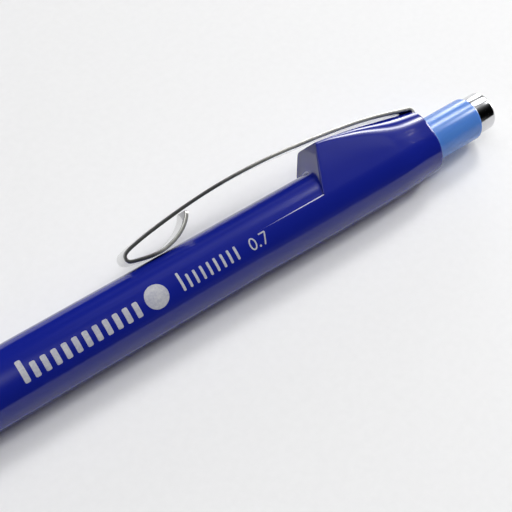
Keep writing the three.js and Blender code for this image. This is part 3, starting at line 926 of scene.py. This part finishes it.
# -------------------------------------------------------------------- print
def wrap_print(name, polys, thick=0.010, lift=0.002):
    """Flat outlines [(t, arc mm from the clip line), ...] as thin ink lying on the barrel."""
    bm = bmesh.new()
    for poly in polys:
        vs = [bm.verts.new((p[0], p[1], 0)) for p in poly]
        bm.faces.new(vs)
    bmesh.ops.triangulate(bm, faces=bm.faces[:])
    for _ in range(4):
        long = [e for e in bm.edges if e.calc_length() > 0.35]
        if not long:
            break
        bmesh.ops.subdivide_edges(bm, edges=long, cuts=1)
        bmesh.ops.triangulate(bm, faces=bm.faces[:])
    res = bmesh.ops.extrude_face_region(bm, geom=bm.faces[:])
    for v in res["geom"]:
        if isinstance(v, bmesh.types.BMVert):
            v.co.z = 1.0
    me = bpy.data.meshes.new(name)
    bmesh.ops.recalc_face_normals(bm, faces=bm.faces)
    bm.to_mesh(me)
    bm.free()
    for v in me.vertices:
        t, arc, top = v.co
        a = -arc / BARREL_R
        r = skin_r(t, a) + (thick if top > 0.5 else lift)
        v.co = Vector(polar(t, r, a))
    me.update()
    finish_shading(me, 40)
    o = bpy.data.objects.new(name, me)
    bpy.context.scene.collection.objects.link(o)
    return dress(o, M["print"], "body", None)


def bar(t0, t1, top_deg, bottom_deg, r=0.2, slant=0.0):
    y0, y1 = BARREL_R * rad(top_deg), BARREL_R * rad(bottom_deg)
    pts = fillet([(t0, y0), (t1, y0), (t1, y1), (t0, y1)], r, 5)
    if slant:
        pts[:, 0] += (y1 - pts[:, 1]) * slant
    return pts


polys = []
t = 64.3
for k in range(12):
    polys.append(bar(t, t + 0.74, 65.5 if k == 0 else 76.6, 102.3, 0.2))
    t += 1.416
wrap_print("print_band_wide", polys)
disc = [(83.2 + 1.62 * math.cos(rad(a)), BARREL_R * rad(86.5) + 1.62 * math.sin(rad(a))) for a in range(0, 360, 8)]
wrap_print("print_dot", [disc])
polys = []
t = 86.7
for k in range(9):
    polys.append(bar(t, t + 0.36, 69.0 if k == 0 else 78.0, 101.2, 0.14))
    t += 1.05
wrap_print("print_band_narrow", polys)


def stroke(path, width, closed=False):
    """Quads along a centre line, with rounded joins left to the dense points."""
    pts = np.asarray(path, float)
    n = len(pts)
    if closed:
        d = np.roll(pts, -1, 0) - np.roll(pts, 1, 0)
    else:
        d = np.gradient(pts, axis=0)
    d /= np.linalg.norm(d, axis=1)[:, None]
    nn = np.stack([-d[:, 1], d[:, 0]], -1) * width / 2
    a, b = pts + nn, pts - nn
    return [[tuple(a[i]), tuple(a[(i + 1) % n]), tuple(b[(i + 1) % n]), tuple(b[i])] for i in
            range(n if closed else n - 1)]


def print_number(t0, base_deg, height):
    """0.7, from an oval, a dot and a bent stroke."""
    base = BARREL_R * rad(base_deg)
    w = 0.20
    q = np.arange(36) * 2 * math.pi / 36
    oval = [(t0 + 0.52 + 0.43 * math.cos(k), base - height / 2 + (height / 2 - w / 2) * math.sin(k)) for k in q]
    dot = [[(t0 + 1.42 + 0.15 * math.cos(k), base - 0.15 + 0.15 * math.sin(k)) for k in q[::2]]]
    x, top = t0 + 1.80, base - height + w / 2
    bend = fillet([(x, top), (x + 0.92, top), (x + 0.90, top + 0.12), (x + 0.30, base)], [0, 0.05, 0.25, 0], 5,
                  closed=False)
    return stroke(oval, w, True) + dot + stroke(densify(bend, 0.12, False), w)


def wrap_mesh_polys(name, polys):
    """As wrap_print, for outlines that share edges."""
    bm = bmesh.new()
    seen = {}
    for poly in polys:
        vs = []
        for p in poly:
            key = (round(p[0], 5), round(p[1], 5))
            if key not in seen:
                seen[key] = bm.verts.new((p[0], p[1], 0))
            vs.append(seen[key])
        if len(set(vs)) > 2:
            try:
                bm.faces.new(vs)
            except ValueError:
                pass
    res = bmesh.ops.extrude_face_region(bm, geom=bm.faces[:])
    for v in res["geom"]:
        if isinstance(v, bmesh.types.BMVert):
            v.co.z = 1.0
    bmesh.ops.recalc_face_normals(bm, faces=bm.faces)
    me = bpy.data.meshes.new(name)
    bm.to_mesh(me)
    bm.free()
    for v in me.vertices:
        t, arc, top = v.co
        a = -arc / BARREL_R
        v.co = Vector(polar(t, skin_r(t, a) + (0.012 if top > 0.5 else 0.002), a))
    me.update()
    finish_shading(me, 40)
    o = bpy.data.objects.new(name, me)
    bpy.context.scene.collection.objects.link(o)
    return dress(o, M["print"], "body", None)


wrap_mesh_polys("print_lead_size", print_number(97.35, 101.0, 1.7))

# -------------------------------------------------------------------- stage
bm = bmesh.new()
bmesh.ops.create_grid(bm, x_segments=8, y_segments=8, size=3.0)
fl = bpy.data.meshes.new("table_top")
bm.to_mesh(fl)
bm.free()
floor = bpy.data.objects.new("table_top", fl)
floor.location.z = -2e-5
bpy.context.scene.collection.objects.link(floor)
mat, nt, b = node_mat("table_matte_white")
n = N(nt)
g = n.noise(n.mapping(), 900, 3, 0.6)
n.link(n.mix(n.rng(g, 0, 1, 0.3, 0.7), (0.86, 0.86, 0.865), (0.88, 0.88, 0.885)), b.inputs["Base Color"])
b.inputs["Roughness"].default_value = 0.6
b.inputs["Specular IOR Level"].default_value = 0.25
n.link(n.bump(g, 4e-6), b.inputs["Normal"])
fl.materials.append(mat)

# pale studio wall far away, seen only straight by a camera that looks level; it takes no part in the light
bm = bmesh.new()
bmesh.ops.create_uvsphere(bm, u_segments=48, v_segments=24, radius=2.9)
wm = bpy.data.meshes.new("studio_wall")
bm.to_mesh(wm)
bm.free()
wall = bpy.data.objects.new("studio_wall", wm)
bpy.context.scene.collection.objects.link(wall)
for flag in ("visible_diffuse", "visible_glossy", "visible_transmission", "visible_volume_scatter", "visible_shadow"):
    setattr(wall, flag, False)
mat = bpy.data.materials.new("studio_wall_pale")
mat.use_nodes = True
nt = mat.node_tree
nt.nodes.clear()
out = nt.nodes.new("ShaderNodeOutputMaterial")
glow = nt.nodes.new("ShaderNodeEmission")
glow.inputs["Color"].default_value = (0.80, 0.80, 0.81, 1)
glow.inputs["Strength"].default_value = 1.0
nt.links.new(glow.outputs[0], out.inputs[0])
wm.materials.append(mat)


# ---------------------------------------------------------------- the light
LOBES = [
    # azimuth, elevation, sharpness (1 / (1 - cos)), radiance
    (-150, 73, 30, 6.512),
    (31.2, 45.5, 150, 21.293),
    (144, 58, 36, 2.923),
    (0, 4, 60, 22.564),
    (45, 43, 40, 0.748),
    (29.1, 36.8, 150, 3.003),
    (9.4, 24.2, 150, 4.262),
    (15, 43, 40, 0.451),
    (36, 42.1, 150, 1.442),
    (0, 58, 36, 0.285),
    (36, 58, 36, 0.122),
    (64.6, 54.3, 150, 0.299),
    (18.8, 32.3, 150, 0.449),
    (53, 65.5, 150, 0.27),
    (73.7, 27, 150, 0.137),
    (63.7, 25.5, 150, 0.236),
    (-67.5, 4, 60, 0.259),
    (46, 4, 200, 14),
    (47, 11, 200, 12),
    (51, 19, 260, 8),
]
PANELS = [
    # distance from the hood (m), elevation across the axis, lean along it, radiance
    (0.3, 90, 1.25, 54.161),
    (0.55, 62, 0.9, 11.744),
    (0.3, 90, 0.6, 0.473),
]
GAIN = 0.81
BASE = 0.0
world = bpy.data.worlds.new("studio")
bpy.context.scene.world = world
world.use_nodes = True
nt = world.node_tree
nt.nodes.clear()
out = nt.nodes.new("ShaderNodeOutputWorld")
bg = nt.nodes.new("ShaderNodeBackground")
nt.links.new(bg.outputs[0], out.inputs[0])
tc = nt.nodes.new("ShaderNodeTexCoord")


def wmath(op, a, b=None):
    nn = nt.nodes.new("ShaderNodeMath")
    nn.operation = op
    for i, v in enumerate((a, b)):
        if v is None:
            continue
        if isinstance(v, (int, float)):
            nn.inputs[i].default_value = v
        else:
            nt.links.new(v, nn.inputs[i])
    return nn.outputs[0]


total = None
for az, el, k, s in LOBES:
    d = (math.cos(rad(az)) * math.cos(rad(el)), math.sin(rad(az)) * math.cos(rad(el)), math.sin(rad(el)))
    dot = nt.nodes.new("ShaderNodeVectorMath")
    dot.operation = "DOT_PRODUCT"
    nt.links.new(tc.outputs["Generated"], dot.inputs[0])
    dot.inputs[1].default_value = d
    e = wmath("MULTIPLY", wmath("SUBTRACT", dot.outputs["Value"], 1.0), k)
    term = wmath("MULTIPLY", wmath("EXPONENT", e), s)
    total = term if total is None else wmath("ADD", total, term)
total = wmath("MULTIPLY", wmath("ADD", total, BASE), GAIN)
nt.links.new(total, bg.inputs["Strength"])
bg.inputs["Color"].default_value = (1, 1, 1, 1)

for i, (dist, el, lean, radiance) in enumerate(PANELS):
    aim = Vector((0.045, -0.002, 0.0046))
    at = aim + Vector((dist * lean, dist * math.cos(rad(el)), dist * math.sin(rad(el))))
    back = (at - aim).normalized()
    wide = (Vector((1, 0, 0)) - back * back.x).normalized()
    tall = back.cross(wide)
    panel = bpy.data.lights.new(f"soft_panel_{i + 1}", "AREA")
    panel.shape = "RECTANGLE"
    panel.size, panel.size_y = dist * 0.26, dist * 0.18
    panel.energy = math.pi * panel.size * panel.size_y * radiance * GAIN
    lamp = bpy.data.objects.new(f"soft_panel_{i + 1}", panel)
    m = Matrix.Identity(4)
    for k in range(3):
        m[k][0], m[k][1], m[k][2], m[k][3] = wide[k], tall[k], back[k], at[k]
    lamp.matrix_world = m
    bpy.context.scene.collection.objects.link(lamp)

scene = bpy.context.scene
scene.view_settings.view_transform = "Standard"
scene.view_settings.look = "None"
scene.view_settings.exposure = 0.0
scene.view_settings.gamma = 1.0
